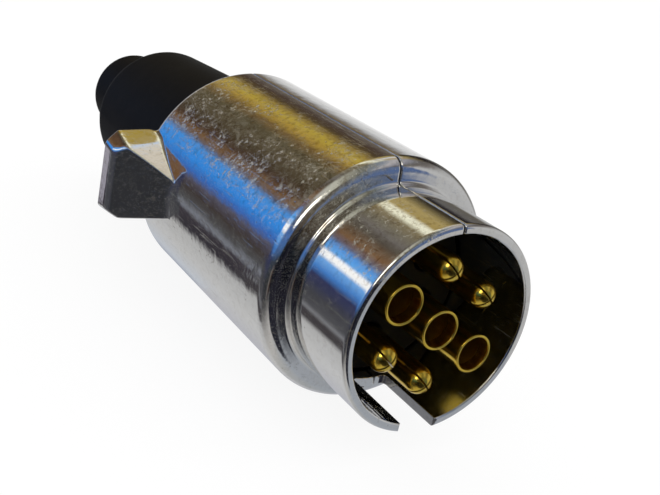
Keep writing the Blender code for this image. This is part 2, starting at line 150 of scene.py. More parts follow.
def corner_arc(before, corner, after, fillet, segments):
    """Points of the fillet at a corner."""
    to_before = (before - corner) / np.linalg.norm(before - corner)
    to_after = (after - corner) / np.linalg.norm(after - corner)
    half = math.acos(max(-1, min(1, float(to_before @ to_after)))) / 2
    reach = fillet / math.tan(half)
    middle = to_before + to_after
    centre = corner + middle / np.linalg.norm(middle) * fillet / math.sin(half)
    start = corner + to_before * reach - centre
    end = corner + to_after * reach - centre
    first = math.atan2(start[1], start[0])
    turn = (math.atan2(end[1], end[0]) - first + math.pi) % (2 * math.pi) - math.pi
    count = segments if fillet < 1.5 else segments + 3
    angles = [first + turn * j / count for j in range(count + 1)]
    return [centre + fillet * np.array([math.cos(a), math.sin(a)]) for a in angles]


def rounded(points, segments, step=6.0, support=0.14):
    """A closed loop of (radius, y, fillet) as points (radius, y): each corner an arc, a row
    close to each arc so that flat faces shade flat, and long sides divided."""
    n = len(points)
    arcs = []
    for i in range(n):
        before, corner, after = (np.array(points[(i + k) % n][:2], float) for k in (-1, 0, 1))
        fillet = points[i][2]
        if fillet <= 0:
            arcs.append([corner])
        else:
            arcs.append(corner_arc(before, corner, after, fillet, segments))
    out = []
    for i in range(n):
        out.extend(arcs[i])
        start, end = arcs[i][-1], arcs[(i + 1) % n][0]
        length = np.linalg.norm(end - start)
        if length < 0.35:
            continue
        marks = [support, length - support] if length > 4 * support else []
        count = int(length // step)
        marks += [length * j / (count + 1) for j in range(1, count + 1)]
        direction = (end - start) / length
        out.extend(start + direction * mark for mark in sorted(marks))
    return np.array(out)


def nearest(loop, radius, y):
    return int(np.argmin(np.abs(loop[:, 0] - radius) + np.abs(loop[:, 1] - y)))


def stretch(loop, start, end):
    """The part of a closed loop from one point (radius, y) to another."""
    loop = np.roll(loop, -nearest(loop, *start), axis=0)
    return loop[: nearest(loop, *end) + 1]


def open_rounded(points, segments, **spacing):
    """As rounded, for a profile that starts and ends on the axis."""
    return stretch(rounded(points, segments, **spacing), points[0][:2], points[-1][:2])


def placed(verts, matrix):
    m = np.array(matrix, float)
    return np.asarray(verts) @ m[:3, :3].T + m[:3, 3]


def turned(name, profile, steps, matrix=IDENTITY, turn=0.0):
    """Closed revolve about Y of a profile that starts and ends on the axis. A radius may be a
    function of the angle."""
    verts, faces, rings = [], [], []
    for radius, y in profile:
        start = len(verts)
        if not callable(radius) and radius < 1e-9:
            verts.append((0, y, 0))
        else:
            for k in range(steps):
                a = 2 * math.pi * k / steps + math.radians(turn)
                r = radius(a) if callable(radius) else radius
                verts.append((r * math.cos(a), y, r * math.sin(a)))
        rings.append(range(start, len(verts)))
    for a, b in zip(rings, rings[1:]):
        for k in range(steps):
            j = (k + 1) % steps
            if len(a) == 1:
                faces.append((a[0], b[j], b[k]))
            elif len(b) == 1:
                faces.append((a[k], a[j], b[0]))
            else:
                faces.append((a[k], a[j], b[j], b[k]))
    return object_of(name, placed(verts, matrix), faces)


def cutter(profile, steps, matrix=IDENTITY):
    return turned("cutter", profile, steps, matrix, CUTTER_TURN)


def rod(radius, y0, y1, steps, matrix=IDENTITY):
    return cutter([(0, y0), (radius, y0), (radius, y1), (0, y1)], steps, matrix)


def prism(name, near, far, matrix=IDENTITY):
    """A solid between two matching loops of points."""
    n = len(near)
    faces = [tuple(range(n)), tuple(range(2 * n - 1, n - 1, -1))]
    faces += [(i, n + i, n + (i + 1) % n, (i + 1) % n) for i in range(n)]
    return object_of(name, placed(near + far, matrix), faces)


def block(x, y, z, matrix=None):
    """A box between pairs of limits."""
    limits = (x, y, z)
    bm = bmesh.new()
    bmesh.ops.create_cube(bm, size=1)
    bmesh.ops.scale(bm, vec=[b - a for a, b in limits], verts=bm.verts)
    bmesh.ops.translate(bm, vec=[(a + b) / 2 for a, b in limits], verts=bm.verts)
    return object_from("block", bm, matrix)


def at(site):
    return Matrix.Translation((site[0], 0, site[1]))


def on_split(y, z):
    """A place on the split plane, with local X square to that plane."""
    return SPLIT @ Matrix.Translation((0, y, z))


def cross_rod(radius, x0, x1, y, z):
    """A cutter square to the split plane."""
    return rod(radius, x0, x1, 36, on_split(y, z) @ ALONG_X)


# --- node tools ---
def linear_rgb(srgb):
    """sRGB 0-255 to linear."""
    parts = [c / 255 for c in srgb]
    return tuple(c / 12.92 if c <= 0.04045 else ((c + 0.055) / 1.055) ** 2.4 for c in parts)


class Tree:
    """Adds nodes to an emptied node tree. Values may be sockets, which are linked."""

    def __init__(self, tree):
        self.tree = tree
        tree.nodes.clear()

    def add(self, kind, *values, output=0, inputs=None, **properties):
        """Returns the given output of the new node, or the node itself for output=None."""
        node = self.tree.nodes.new(kind)
        for key, value in properties.items():
            setattr(node, key, value)
        for key, value in list(enumerate(values)) + list((inputs or {}).items()):
            socket = node.inputs[key]
            if isinstance(value, bpy.types.NodeSocket):
                self.tree.links.new(value, socket)
            elif socket.type == "RGBA" and len(value) == 3:
                socket.default_value = (*value, 1)
            else:
                socket.default_value = value
        return node if output is None else node.outputs[output]

    def math(self, operation, *values, clamp=False):
        return self.add("ShaderNodeMath", *values, operation=operation, use_clamp=clamp)

    def times(self, value, by):
        return self.math("MULTIPLY", value, by)

    def linear(self, value, slope, offset):
        return self.math("MULTIPLY_ADD", value, slope, offset)

    def plus(self, base, part, amount, clamp=False):
        return self.math("ADD", base, self.times(part, amount), clamp=clamp)

    def minus(self, base, part, amount):
        return self.math("SUBTRACT", base, self.times(part, amount))

    def smoothstep(self, value, low, high):
        """Rises from 0 at low to 1 at high, or falls if low is the greater."""
        return self.add("ShaderNodeMapRange", value, low, high, 0.0, 1.0,
                        interpolation_type="SMOOTHSTEP")

    def window(self, value, start, full, still_full, end):
        """Rises from start to full, and falls from still_full to end."""
        rise = self.smoothstep(value, start, full)
        return self.times(rise, self.smoothstep(value, end, still_full))

    def mix(self, factor, a, b):
        return self.add("ShaderNodeMix", output=2, data_type="RGBA",
                        inputs={0: factor, 6: a, 7: b})

    def tint(self, base, where, amount, colour):
        return self.mix(self.times(where, amount), base, colour)

    def ramp(self, factor, stops):
        """A colour ramp from stops of (position, linear colour)."""
        node = self.add("ShaderNodeValToRGB", factor, output=None)
        elements = node.color_ramp.elements
        while len(elements) > 1:
            elements.remove(elements[-1])
        for i, (position, colour) in enumerate(stops):
            element = elements[0] if i == 0 else elements.new(position)
            element.position = position
            element.color = (*colour, 1)
        return node.outputs[0]

    def noise(self, vector, scale, detail=3.0, roughness=0.5, distortion=0.0):
        return self.add("ShaderNodeTexNoise", inputs={
            "Vector": vector, "Scale": scale, "Detail": detail, "Roughness": roughness,
            "Distortion": distortion})

    def patches(self, vector, band, **noise):
        """Noise that fades in between the two levels of the band."""
        return self.smoothstep(self.noise(vector, **noise), *band)

    def mapped(self, vector, scale=(1, 1, 1), rotation=(0, 0, 0), location=(0, 0, 0)):
        return self.add("ShaderNodeMapping", vector, location, rotation, scale)

    def axes(self, vector):
        return list(self.add("ShaderNodeSeparateXYZ", vector, output=None).outputs)

    def coordinates(self, kind):
        return self.add("ShaderNodeTexCoord", output=kind)

    def millimetres(self):
        return self.mapped(self.coordinates("Object"), scale=(1000, 1000, 1000))

    def bump(self, height, strength, distance, bevel=None, samples=4):
        """A bumped normal, over edges that look rounded by the bevel. Lengths are in metres."""
        inputs = {"Strength": strength, "Distance": distance, "Height": height}
        if bevel is not None:
            inputs["Normal"] = self.add("ShaderNodeBevel", bevel, samples=samples)
        return self.add("ShaderNodeBump", inputs=inputs)

    def principled(self, colour, roughness, normal, **inputs):
        return self.add("ShaderNodeBsdfPrincipled", inputs={
            "Base Color": colour, "Roughness": roughness, "Normal": normal, **inputs})

    def surface(self, shader):
        self.add("ShaderNodeOutputMaterial", shader, output=None)


def new_material(name):
    material = bpy.data.materials.new(name)
    material.use_nodes = True
    return material, Tree(material.node_tree)


# --- materials ---
def chrome(name):
    """Bright plating that has been handled and stored: soft waviness, patches of whitish flecks
    that are thickest along the upper left, a thin haze, pits, and fine scratches."""
    material, tree = new_material(name)
    pos = tree.millimetres()
    x, _, z = tree.axes(pos)
    radial = tree.add("ShaderNodeCombineXYZ", x, 0.0, z)
    outward = tree.add("ShaderNodeVectorMath", radial, operation="NORMALIZE")
    upper_left = (-0.643, 0.0, 0.766)
    upper = tree.add("ShaderNodeVectorMath", outward, upper_left, output=1,
                     operation="DOT_PRODUCT")
    upper = tree.smoothstep(upper, low=0.86, high=0.965)
    where = tree.linear(upper, slope=0.86, offset=0.14)

    # coarse and fine flecks, gathered in clusters
    cluster = tree.patches(pos, (0.38, 0.60), scale=0.15, detail=4, roughness=0.6,
                           distortion=0.8)
    coarse = tree.patches(pos, (0.545, 0.615), scale=0.95, detail=6, roughness=0.78,
                          distortion=0.2)
    fine = tree.patches(tree.mapped(pos, location=(31, 7, 12)), (0.57, 0.65),
                        scale=2.6, detail=5, roughness=0.75, distortion=0.15)
    flecks = tree.math("MAXIMUM", coarse, tree.times(fine, by=0.7))
    flecks = tree.times(flecks, tree.times(cluster, where))
    haze = tree.patches(pos, (0.42, 0.70), scale=0.45, detail=6, roughness=0.72, distortion=0.3)
    haze = tree.times(haze, where)

    def scratches(band, **mapping):
        return tree.patches(tree.mapped(pos, **mapping), band, scale=1.0, detail=2,
                            roughness=0.5)

    # long scratches along the axis, shorter slanting ones, and some across
    along = scratches((0.655, 0.70), scale=(3.0, 0.09, 3.0), rotation=(0.02, 0.03, 0.015))
    slanting = scratches((0.69, 0.73), scale=(1.9, 0.35, 1.9), rotation=(0.5, 0.2, 0.6),
                         location=(3, 7, 1))
    across = scratches((0.70, 0.735), scale=(0.35, 2.6, 2.6), rotation=(0.1, 0.4, 0.9),
                       location=(9, 2, 5))
    scratch = tree.math("MAXIMUM", tree.times(slanting, by=0.8), tree.times(across, by=0.6))
    scratch = tree.math("MAXIMUM", along, scratch)

    # pits at the centres of about a fifth of the cells
    cells = tree.add("ShaderNodeTexVoronoi", output=None, feature="F1",
                     inputs={"Vector": pos, "Scale": 0.9, "Randomness": 1.0}).outputs
    cell_share = 0.22
    red = tree.add("ShaderNodeSeparateColor", cells["Color"])
    pits = tree.times(tree.math("LESS_THAN", red, cell_share),
                      tree.smoothstep(cells["Distance"], low=0.22, high=0.06))

    # relief is weak on the nose and full on the body
    distance = tree.add("ShaderNodeVectorMath", radial, output=1, operation="LENGTH")
    relief = tree.smoothstep(distance, low=20.5, high=22.5)
    relief = tree.linear(relief, slope=0.88, offset=0.12)
    wave = tree.noise(pos, scale=0.20, detail=3, roughness=0.55)
    peel = tree.noise(pos, scale=0.70, detail=3, roughness=0.55)
    micro = tree.noise(pos, scale=3.2, detail=4, roughness=0.65)

    roughness = tree.linear(haze, slope=0.035, offset=0.030)
    roughness = tree.plus(roughness, flecks, amount=0.22)
    roughness = tree.plus(roughness, scratch, amount=0.08)

    # cool to warm plating, then brown grime and pits
    colour = tree.mix(tree.noise(pos, scale=0.09), (0.89, 0.895, 0.91), (0.83, 0.82, 0.79))
    grime = tree.patches(tree.mapped(pos, location=(5, 17, 3)), (0.50, 0.64),
                         scale=0.75, detail=6, roughness=0.75, distortion=0.4)
    grime = tree.times(grime, tree.linear(where, slope=0.75, offset=0.1))
    colour = tree.tint(colour, grime, amount=0.55, colour=(0.34, 0.27, 0.20))
    colour = tree.tint(colour, pits, amount=0.45, colour=(0.42, 0.38, 0.32))

    height = tree.times(wave, by=1.5)
    height = tree.plus(height, peel, amount=0.30)
    height = tree.plus(height, micro, amount=tree.linear(haze, slope=0.09, offset=0.012))
    height = tree.plus(height, flecks, amount=0.22)
    height = tree.minus(height, pits, amount=0.40)
    height = tree.minus(height, scratch, amount=0.14)
    height = tree.times(height, relief)
    normal = tree.bump(height, strength=0.6, distance=0.00007, bevel=0.00022, samples=6)
    metal = tree.principled(colour, roughness, normal, Metallic=1.0)

    # a matt bloom lies over the metal
    bloom = tree.add("ShaderNodeBsdfDiffuse", inputs={
        "Color": (0.44, 0.42, 0.34), "Roughness": 0.6, "Normal": normal})
    cloud = tree.patches(tree.mapped(pos, scale=(1, 0.7, 1), location=(2, 23, 9)),
                         (0.53, 0.66), scale=0.28, detail=7, roughness=0.78, distortion=0.5)
    cloud = tree.times(cloud, tree.linear(upper, slope=0.75, offset=0.12))
    cover = tree.linear(flecks, slope=0.60, offset=tree.times(haze, by=0.05))
    cover = tree.plus(cover, cloud, amount=0.26)
    cover = tree.plus(cover, scratch, amount=0.12, clamp=True)
    tree.surface(tree.add("ShaderNodeMixShader", cover, metal, bloom))
    return material


def brass(name, bore=False):
    """Turned and handled brass: fine rings from the tool, and uneven polish. A bore is dull, and
    its colour darkens deeper inside as painted shade."""
    material, tree = new_material(name)
    pos = tree.millimetres()
    ring = tree.add("ShaderNodeTexWave", wave_type="BANDS", bands_direction="Y", output=1,
                    inputs={"Vector": pos, "Scale": 1.6, "Distortion": 0.6, "Detail": 1.0,
                            "Detail Scale": 0.5})
    blotch = tree.noise(pos, scale=0.35, detail=4, roughness=0.6)
    fine = tree.noise(pos, scale=4.0, detail=3, roughness=0.6)
    colour = tree.mix(blotch, (0.95, 0.70, 0.115), (0.82, 0.54, 0.065))
    tarnish = tree.patches(pos, (0.58, 0.78), scale=0.8, detail=5, roughness=0.7)
    colour = tree.tint(colour, tarnish, amount=0.40, colour=(0.36, 0.20, 0.05))
    roughness = tree.linear(blotch, slope=0.12, offset=0.13)
    roughness = tree.plus(roughness, tarnish, amount=0.14)
    if bore:
        # painted shade: the colour darkens deeper inside the bore; the added roughness is the
        # bore's real dullness
        depth = tree.smoothstep(tree.axes(pos)[1], low=-16.9, high=-13.0)
        colour = tree.mix(depth, colour, (0.66, 0.43, 0.08))
        roughness = tree.linear(depth, slope=0.24, offset=roughness)
    height = tree.plus(tree.times(ring, by=0.10), fine, amount=0.12)
    normal = tree.bump(height, strength=0.35, distance=0.00004, bevel=0.00009, samples=6)
    tree.surface(tree.principled(colour, roughness, normal, Metallic=1.0))
    return material


def moulded_black(name):
    """Black insulator: low sheen with a faint mould texture and dust."""
    material, tree = new_material(name)
    pos = tree.millimetres()
    coarse = tree.noise(pos, scale=0.6, detail=4, roughness=0.6)
    fine = tree.noise(pos, scale=7.0, detail=3, roughness=0.6)
    dust = tree.patches(pos, (0.60, 0.80), scale=2.2, detail=6, roughness=0.75)
    colour = tree.mix(coarse, (0.0020, 0.0019, 0.0020), (0.0042, 0.0038, 0.0038))
    colour = tree.tint(colour, dust, amount=0.22, colour=(0.016, 0.014, 0.011))
    roughness = tree.linear(fine, slope=0.22, offset=0.40)
    height = tree.plus(tree.times(coarse, by=0.3), fine, amount=0.25)
    normal = tree.bump(height, strength=0.4, distance=0.00005, bevel=0.00015)
    tree.surface(tree.principled(colour, roughness, normal, **{"Specular IOR Level": 0.28}))
    return material


def rubber(name):
    """Moulded rubber: dark blue-black, fine grain, soft sheen, faint bloom and scuffs."""
    material, tree = new_material(name)
    pos = tree.millimetres()
    grain = tree.noise(pos, scale=5.0, detail=4, roughness=0.65)
    swell = tree.noise(pos, scale=0.16, detail=3, roughness=0.5)
    lengthwise = tree.mapped(pos, scale=(0.8, 0.25, 0.8), rotation=(0.3, 0.1, 0.4))
    scuff = tree.patches(lengthwise, (0.56, 0.76), scale=1.0, detail=5, roughness=0.7)
    bloom = tree.patches(pos, (0.45, 0.75), scale=0.22, detail=5, roughness=0.6)
    colour = tree.mix(bloom, (0.0020, 0.0021, 0.0036), (0.0036, 0.0036, 0.0046))
    colour = tree.tint(colour, scuff, amount=0.45, colour=(0.0200, 0.0190, 0.0185))
    roughness = tree.linear(grain, slope=0.18, offset=0.50)
    roughness = tree.plus(roughness, scuff, amount=0.10)
    height = tree.plus(tree.times(grain, by=0.35), swell, amount=1.2)
    normal = tree.bump(height, strength=0.45, distance=0.00010)
    tree.surface(tree.principled(colour, roughness, normal, **{
        "Specular IOR Level": 0.10, "Sheen Weight": 0.006, "Sheen Roughness": 0.5}))
    return material


def zinc(name, warm=0.0):
    """Zinc-plated steel: brushed along X, with small dull spots."""
    material, tree = new_material(name)
    pos = tree.millimetres()
    brush = tree.noise(tree.mapped(pos, scale=(0.5, 6.0, 6.0)), scale=1.0, detail=3,
                       roughness=0.6)
    spots = tree.patches(pos, (0.55, 0.75), scale=1.4, detail=5, roughness=0.7)
    colour = tree.mix(tree.noise(pos, scale=0.3), (0.60, 0.60, 0.58),
                      (0.70 + warm, 0.68 + warm * 0.7, 0.62))
    colour = tree.tint(colour, spots, amount=0.5, colour=(0.33, 0.31, 0.28))
    roughness = tree.linear(brush, slope=0.18, offset=0.20)
    roughness = tree.plus(roughness, spots, amount=0.15)
    normal = tree.bump(brush, strength=0.35, distance=0.00004, bevel=0.0001)
    tree.surface(tree.principled(colour, roughness, normal, Metallic=1.0))
    return material


CHROME = chrome("plated_shell")
BRASS = brass("contact_brass")
# brass with painted shade that darkens the colour deeper inside a tube's bore
BORE_PAINTED_SHADE = brass("contact_bore_painted_shade", bore=True)
CARRIER = moulded_black("carrier_black")
RUBBER = rubber("boot_rubber")
SCREW = zinc("screw_zinc")
STRAP = zinc("strap_zinc", warm=0.03)


def piece(obj, node, body, look):
    """Puts an object in the place of a CAD node."""
    obj.data.materials.clear()
    obj.data.materials.append(look)
    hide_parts(node)
    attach(obj, body)


# --- the lug on the left of the shell ---
# It rises as a ramp from its toe to a block with a flat land on top, and its sides slope.
LUG_CENTRE = 90 - SPLIT_DEG  # degrees from the upper split edge to the lug's centre line
LUG_START, LUG_BLOCK = 40.2, 51.4  # y of the toe and of the block's front
LUG_TOE_X, LUG_BASE_X, LUG_EDGE_X, LUG_TIP_X = 23.1, 21.3, 29.8, 31.78  # outward from the axis
INSIDE_LUG = np.array((0.0, 48.0, 0.0))


def plane_through(a, b, c):
    """(normal, offset) of the plane through three points, facing out of the lug."""
    a, b, c = np.array(a, float), np.array(b, float), np.array(c, float)
    normal = np.cross(b - a, c - a)
    normal /= np.linalg.norm(normal)
    offset = float(normal @ a)
    return (normal, offset) if normal @ INSIDE_LUG < offset else (-normal, -offset)


def lug_planes(toe, base, edge, land):
    """Planes of the land, ramp, chamfer, ramp side and block side, from half widths of the lug.
    All but the toe's are (front, rear)."""
    toe = (LUG_TOE_X, LUG_START, toe)
    base_front = (LUG_BASE_X, LUG_BLOCK + 0.8, base[0])
    base_rear = (LUG_BASE_X, BODY_END, base[1])
    edge_front = (LUG_EDGE_X, LUG_BLOCK - 1.2, edge[0])
    edge_rear = (LUG_EDGE_X, BODY_END, edge[1])
    land_front = (LUG_TIP_X, LUG_BLOCK + 0.7, land[0])
    land_rear = (LUG_TIP_X, BODY_END, land[1])
    level = tuple(np.add(land_front, (0.0, 0.0, 1.0)))
    return [
        plane_through(land_front, land_rear, level),
        plane_through(toe, land_front, level),
        plane_through(edge_front, edge_rear, land_rear),
        plane_through(toe, base_front, edge_front),
        plane_through(base_front, base_rear, edge_front),
    ]


# 1 is the lug's upper side, -1 its lower side
LUG_SIDES = {
    1: lug_planes(toe=3.85, base=(8.95, 9.75), edge=(7.9, 8.75), land=(6.4, 6.6)),
    -1: lug_planes(toe=3.70, base=(8.50, 9.30), edge=(7.6, 8.40), land=(7.0, 7.2)),
}


def soft_min(a, b, width):
    overlap = np.maximum(width - np.abs(a - b), 0) / width
    return np.minimum(a, b) - overlap * overlap * width / 4


def soft_max(a, b, width):
    return -soft_min(-a, -b, width)


def clamped(value):
    return min(1.0, max(0.0, value))


def lug_hits(degrees, y, sign):
    """Distances to each plane along a ray from the axis, at an angle from the centre line."""
    angle = np.radians(np.abs(degrees))
    dx, dz = np.cos(angle), np.sin(angle)
    out = []
    for normal, offset in LUG_SIDES[sign]:
        speed = normal[0] * dx + normal[2] * dz
        hit = (offset - normal[1] * y) / np.maximum(speed, 1e-6)
        out.append(np.where(speed > 1e-6, hit, 99.0))
    return np.maximum(np.array(out), 1.0)


@functools.cache
def lug_keys(y, sign):
    """Degrees from the lug's centre line: edge of the top, edge of the side, foot."""
    y = round(min(max(y, LUG_START), BODY_END), 4)
    degrees = np.linspace(0, 40, 4001)
    hits = lug_hits(degrees, y, sign)
    group = np.array([0, 0, 1, 2, 2])[np.argmin(hits, axis=0)]  # top, chamfer or side
    radius = hits.min(axis=0)
    foot = degrees[np.argmax(radius < BODY_R)] if (radius < BODY_R).any() else 28.0
    if radius[0] < BODY_R:
        # the planes are still inside the body
        foot = math.degrees(math.asin(3.8 / BODY_R))
    top = degrees[np.argmax(group > 0)] if (group > 0).any() else 12.0
    side = degrees[np.argmax(group > 1)] if (group > 1).any() else top + 0.3
    foot = max(foot, 2.0)
    side = min(max(side, 0.9), foot - 0.25)
    top = min(max(top, 0.5), side - 0.10)
    return top, side, foot


def lug_radius(degrees, y):
    """Outer radius of the left half at an angle from the lug's centre line, which is positive
    on the upper side."""
    if y < LUG_START - 3.0 or abs(degrees) > 60:
        return BODY_R
    land, ramp, chamfer, ramp_side, block_side = lug_hits(degrees, y, 1 if degrees >= 0 else -1)
    grow = clamped((y - LUG_START) / 9.0)
    sag = math.sin(math.pi * clamped((y - LUG_START) / 11.5))  # the ramp is slightly hollow
    top = soft_min(ramp - 0.30 * sag, land, 1.0)
    side = soft_min(ramp_side, block_side, 0.6)
    softness = 0.25 + 0.35 * grow
    radius = soft_min(soft_min(top, chamfer, softness), side, softness)
    return float(soft_max(BODY_R, radius, 0.3 + 0.7 * grow))


# --- shell halves ---
# kinds of row in the wall section: a fixed point, one on the body that follows the lug, one of
# the rear rounding as (cosine, sine), and the start of the flat rear face
FIXED, OUTER, REAR_ARC, REAR_FLAT = range(4)

REAR_R, WALL_R = 20.9, 19.2
FRONT_END = 36.0  # the outside in front of this y is the same in both halves
RIM_EASE = 0.20

# Wall sections (radius, y, fillet). The outside runs to (BODY_R, FRONT_END), and its last three
# points only close the loop. The inside starts at its second point, and its first point and
# last two only close the loop.
OUTSIDE = [
    (NOSE_BORE_R, RIM_Y, RIM_EASE), (NOSE_R, RIM_Y, 0.75), (NOSE_R, 0, 0.7), (BODY_R, 0, 2.3),
    (BODY_R, FRONT_END, 0), (WALL_R, FRONT_END, 0), (WALL_R, 2.0, 0), (NOSE_BORE_R, 2.0, 0),
]
INSIDE = [
    (REAR_R, 60, 0), (REAR_R, BODY_END, 0), (WALL_R, BODY_END, 0.35), (WALL_R, 53.3, 0.2),
    (21.0, 53.3, 0.1), (21.0, 49.7, 0.1), (18.2, 49.7, 0.3), (18.2, 47.2, 0.4),
    (20.7, 47.2, 0.8), (20.7, 11.6, 0.8), (NOSE_BORE_R, 11.6, 0.3), (NOSE_BORE_R, 8.6, 0.15),
    (20.3, 8.6, 0.1), (20.3, 4.0, 0.1), (NOSE_BORE_R, 4.0, 0.2), (NOSE_BORE_R, RIM_Y, RIM_EASE),
    (12, RIM_Y, 0), (12, 60, 0),
]

# y of the rows behind FRONT_END, close together where the lug bends
LEFT_YS = [36.6, 37.0, 37.4, 37.8, 38.1, 38.4, 38.7, 39.0, 39.3, 39.6, 40.0, 40.4, 40.8]
LEFT_YS += list(np.arange(41.4, 50.4, 0.6))
LEFT_YS += [50.6, 50.85, 51.1, 51.3, 51.5, 51.7, 51.95, 52.2, 52.5, 52.9, 53.4, 54.0, 54.7]
RIGHT_YS = [42.0, 48.0, 54.86]

# shares of each zone between the split edge and the lug's centre line where sections stand
ZONES = [
    np.linspace(0, 1, 22)[:-1],
    np.linspace(0, 1, 17)[:-1],
    (0, 0.2, 0.4, 0.55, 0.68, 0.8, 0.9),
    (0, 0.02, 0.05, 0.1, 0.2, 0.35, 0.5, 0.65, 0.8, 0.9, 0.95, 0.98),
    (0, 0.03, 0.08, 0.15, 0.3, 0.5, 0.7, 0.85, 0.92, 0.97),
    (0, 0.02, 0.05, 0.1, 0.18, 0.28, 0.4, 0.55, 0.7, 0.85),
]
EDGE_MARGIN = 1.7  # degrees from the split plane to the first full section
SPLIT_EASE = 0.24  # rounding of the edges at the split


def shell_rows(side):
    """Rows of the wall section as (kind, radius, y)."""
    outside = stretch(rounded(OUTSIDE, 7), (NOSE_BORE_R + RIM_EASE, RIM_Y), (BODY_R, FRONT_END))
    rows = [(FIXED, radius, y) for radius, y in outside]
    rows += [(OUTER, BODY_R, y) for y in (LEFT_YS if side == LEFT else RIGHT_YS)]
    angles = [math.pi / 2 * k / 8 for k in range(9)]
    rows += [(REAR_ARC, math.cos(a), math.sin(a)) for a in angles]
    rows += [(REAR_FLAT, 0, BODY_END)]
    inside = stretch(rounded(INSIDE, 4), (REAR_R, BODY_END), (NOSE_BORE_R, RIM_Y + RIM_EASE))
    rows += [(FIXED, radius, y) for radius, y in inside[1:]]
    return rows


def rear_point(kind, cosine, sine, radius):
    """Rear outer edge: a 2 mm rounding on the body, tightening to 0.45 mm across the lug."""
    lug = clamped((radius - BODY_R) / 1.4)
    lug = lug * lug * (3 - 2 * lug)
    fillet = 2.0 + (0.45 - 2.0) * lug
    if kind == REAR_FLAT:
        return radius - fillet - 0.14, BODY_END
    return radius - fillet * (1 - cosine), BODY_END - fillet * (1 - sine)


def inset(loop, depth):
    """The closed loop moved into the wall, mitred."""
    if depth <= 0:
        return loop
    before, after = np.roll(loop, 1, axis=0), np.roll(loop, -1, axis=0)
    arriving, leaving = loop - before, after - loop
    arriving /= np.linalg.norm(arriving, axis=1)[:, None]
    leaving /= np.linalg.norm(leaving, axis=1)[:, None]
    normal_in = np.stack([arriving[:, 1], -arriving[:, 0]], 1)
    normal_out = np.stack([leaving[:, 1], -leaving[:, 0]], 1)
    mitre = normal_in + normal_out
    mitre /= np.maximum(np.linalg.norm(mitre, axis=1)[:, None], 1e-9)
    stretched = 1 / np.maximum((mitre * normal_in).sum(1), 0.6)
    area = 0.5 * np.sum(loop[:, 0] * after[:, 1] - after[:, 0] * loop[:, 1])
    return loop - mitre * stretched[:, None] * depth * (1 if area > 0 else -1)


# Each of the next three gives a function of (radius, y) for a section's angle in degrees from
# the upper split edge.
def beside_split(distance, lower=False):
    def angle_of(radius, y):
        angle = math.degrees(math.asin(distance / radius))
        return 180 - angle if lower else angle
    return angle_of


def constant(angle):
    return lambda radius, y: angle


def beside_lug(zone, share, sign):
    """The split plane leans, so the lug's centre line is not half way between the edges."""
    span = LUG_CENTRE if sign > 0 else 180 - LUG_CENTRE

    def angle_of(radius, y):
        top, side, foot = lug_keys(y, sign)
        keys = [span - EDGE_MARGIN, 50.0, foot + 3.0, foot, side, top, 0.0]
        from_centre = keys[zone] + (keys[zone + 1] - keys[zone]) * share
        return LUG_CENTRE - sign * from_centre
    return angle_of


def shell_surface(name, side):
    rows = shell_rows(side)
    n = len(rows)

    def outer(angle_of, y):
        if side == RIGHT:
            return BODY_R
        return lug_radius(LUG_CENTRE - angle_of(BODY_R, y), y)

    def section(angle_of, depth=0.0):
        """Points of one wall section."""
        loop = np.zeros((n, 2))
        for i, (kind, radius, y) in enumerate(rows):
            if kind == FIXED:
                loop[i] = (radius, y)
            elif kind == OUTER:
                loop[i] = (outer(angle_of, y), y)
            else:
                loop[i] = rear_point(kind, radius, y, outer(angle_of, BODY_END))
        out = np.zeros((n, 3))
        for i, (radius, y) in enumerate(inset(loop, depth)):
            angle = math.radians(90 + SPLIT_DEG - side * angle_of(radius, y))
            out[i] = (radius * math.cos(angle), y, radius * math.sin(angle))
        return out

    # (distance from the split plane, depth of the section into the wall)
    edge = []
    for k in range(6):
        angle = math.radians(90 * k / 5)
        edge.append((HALF_GAP + SPLIT_EASE * (1 - math.cos(angle)),
                     SPLIT_EASE * (1 - math.sin(angle))))
    edge.append((HALF_GAP + SPLIT_EASE + 0.10, 0.0))

    sections = [section(beside_split(distance), depth) for distance, depth in edge]
    if side == LEFT:
        stations = [(zone, share) for zone, shares in enumerate(ZONES) for share in shares]
        sections += [section(beside_lug(*station, 1)) for station in stations]
        sections.append(section(constant(LUG_CENTRE)))
        sections += [section(beside_lug(*station, -1)) for station in reversed(stations)]
    else:
        angles = np.linspace(EDGE_MARGIN, 178.3, 132)
        sections += [section(constant(angle)) for angle in angles]
    for distance, depth in reversed(edge):
        sections.append(section(beside_split(distance, lower=True), depth))

    m = len(sections)
    faces = [(c * n + i, c * n + (i + 1) % n, (c + 1) * n + (i + 1) % n, (c + 1) * n + i)
             for c in range(m - 1) for i in range(n)]
    faces.append(tuple(range(n)))
    faces.append(tuple((m - 1) * n + i for i in reversed(range(n))))
    return object_of(name, np.concatenate(sections), faces)


def within_body(tool):
    """Trims a tool so that it ends inside the body's wall."""
    return cut(tool, rod(22.0, 5, BODY_END - 3, 96), operation="INTERSECT")


def screw_boss(y, z, side):
    """A boss for a shell screw: rounded towards the axis, and straight out to the wall."""
    radius, outward = 3.0, 3.4
    angles = [math.radians(a) for a in range(180, 361, 10)]
    outline = [(radius * math.cos(a), radius * math.sin(a)) for a in angles]
    outline += [(radius, outward), (-radius, outward)]
    sign = 1 if z > 0 else -1
    x0, x1 = (-0.4, 13.0) if side == RIGHT else (-13.0, 0.4)
    near, far = ([(x, y + a, z + sign * b) for a, b in outline] for x in (x0, x1))
    boss = within_body(prism("boss", near, far, SPLIT))
    x_limits = (HALF_GAP, 40) if side == RIGHT else (-40, -HALF_GAP)
    own_half = block(x_limits, (-60, 140), (-60, 60), SPLIT)
    return cut(boss, own_half, operation="INTERSECT")


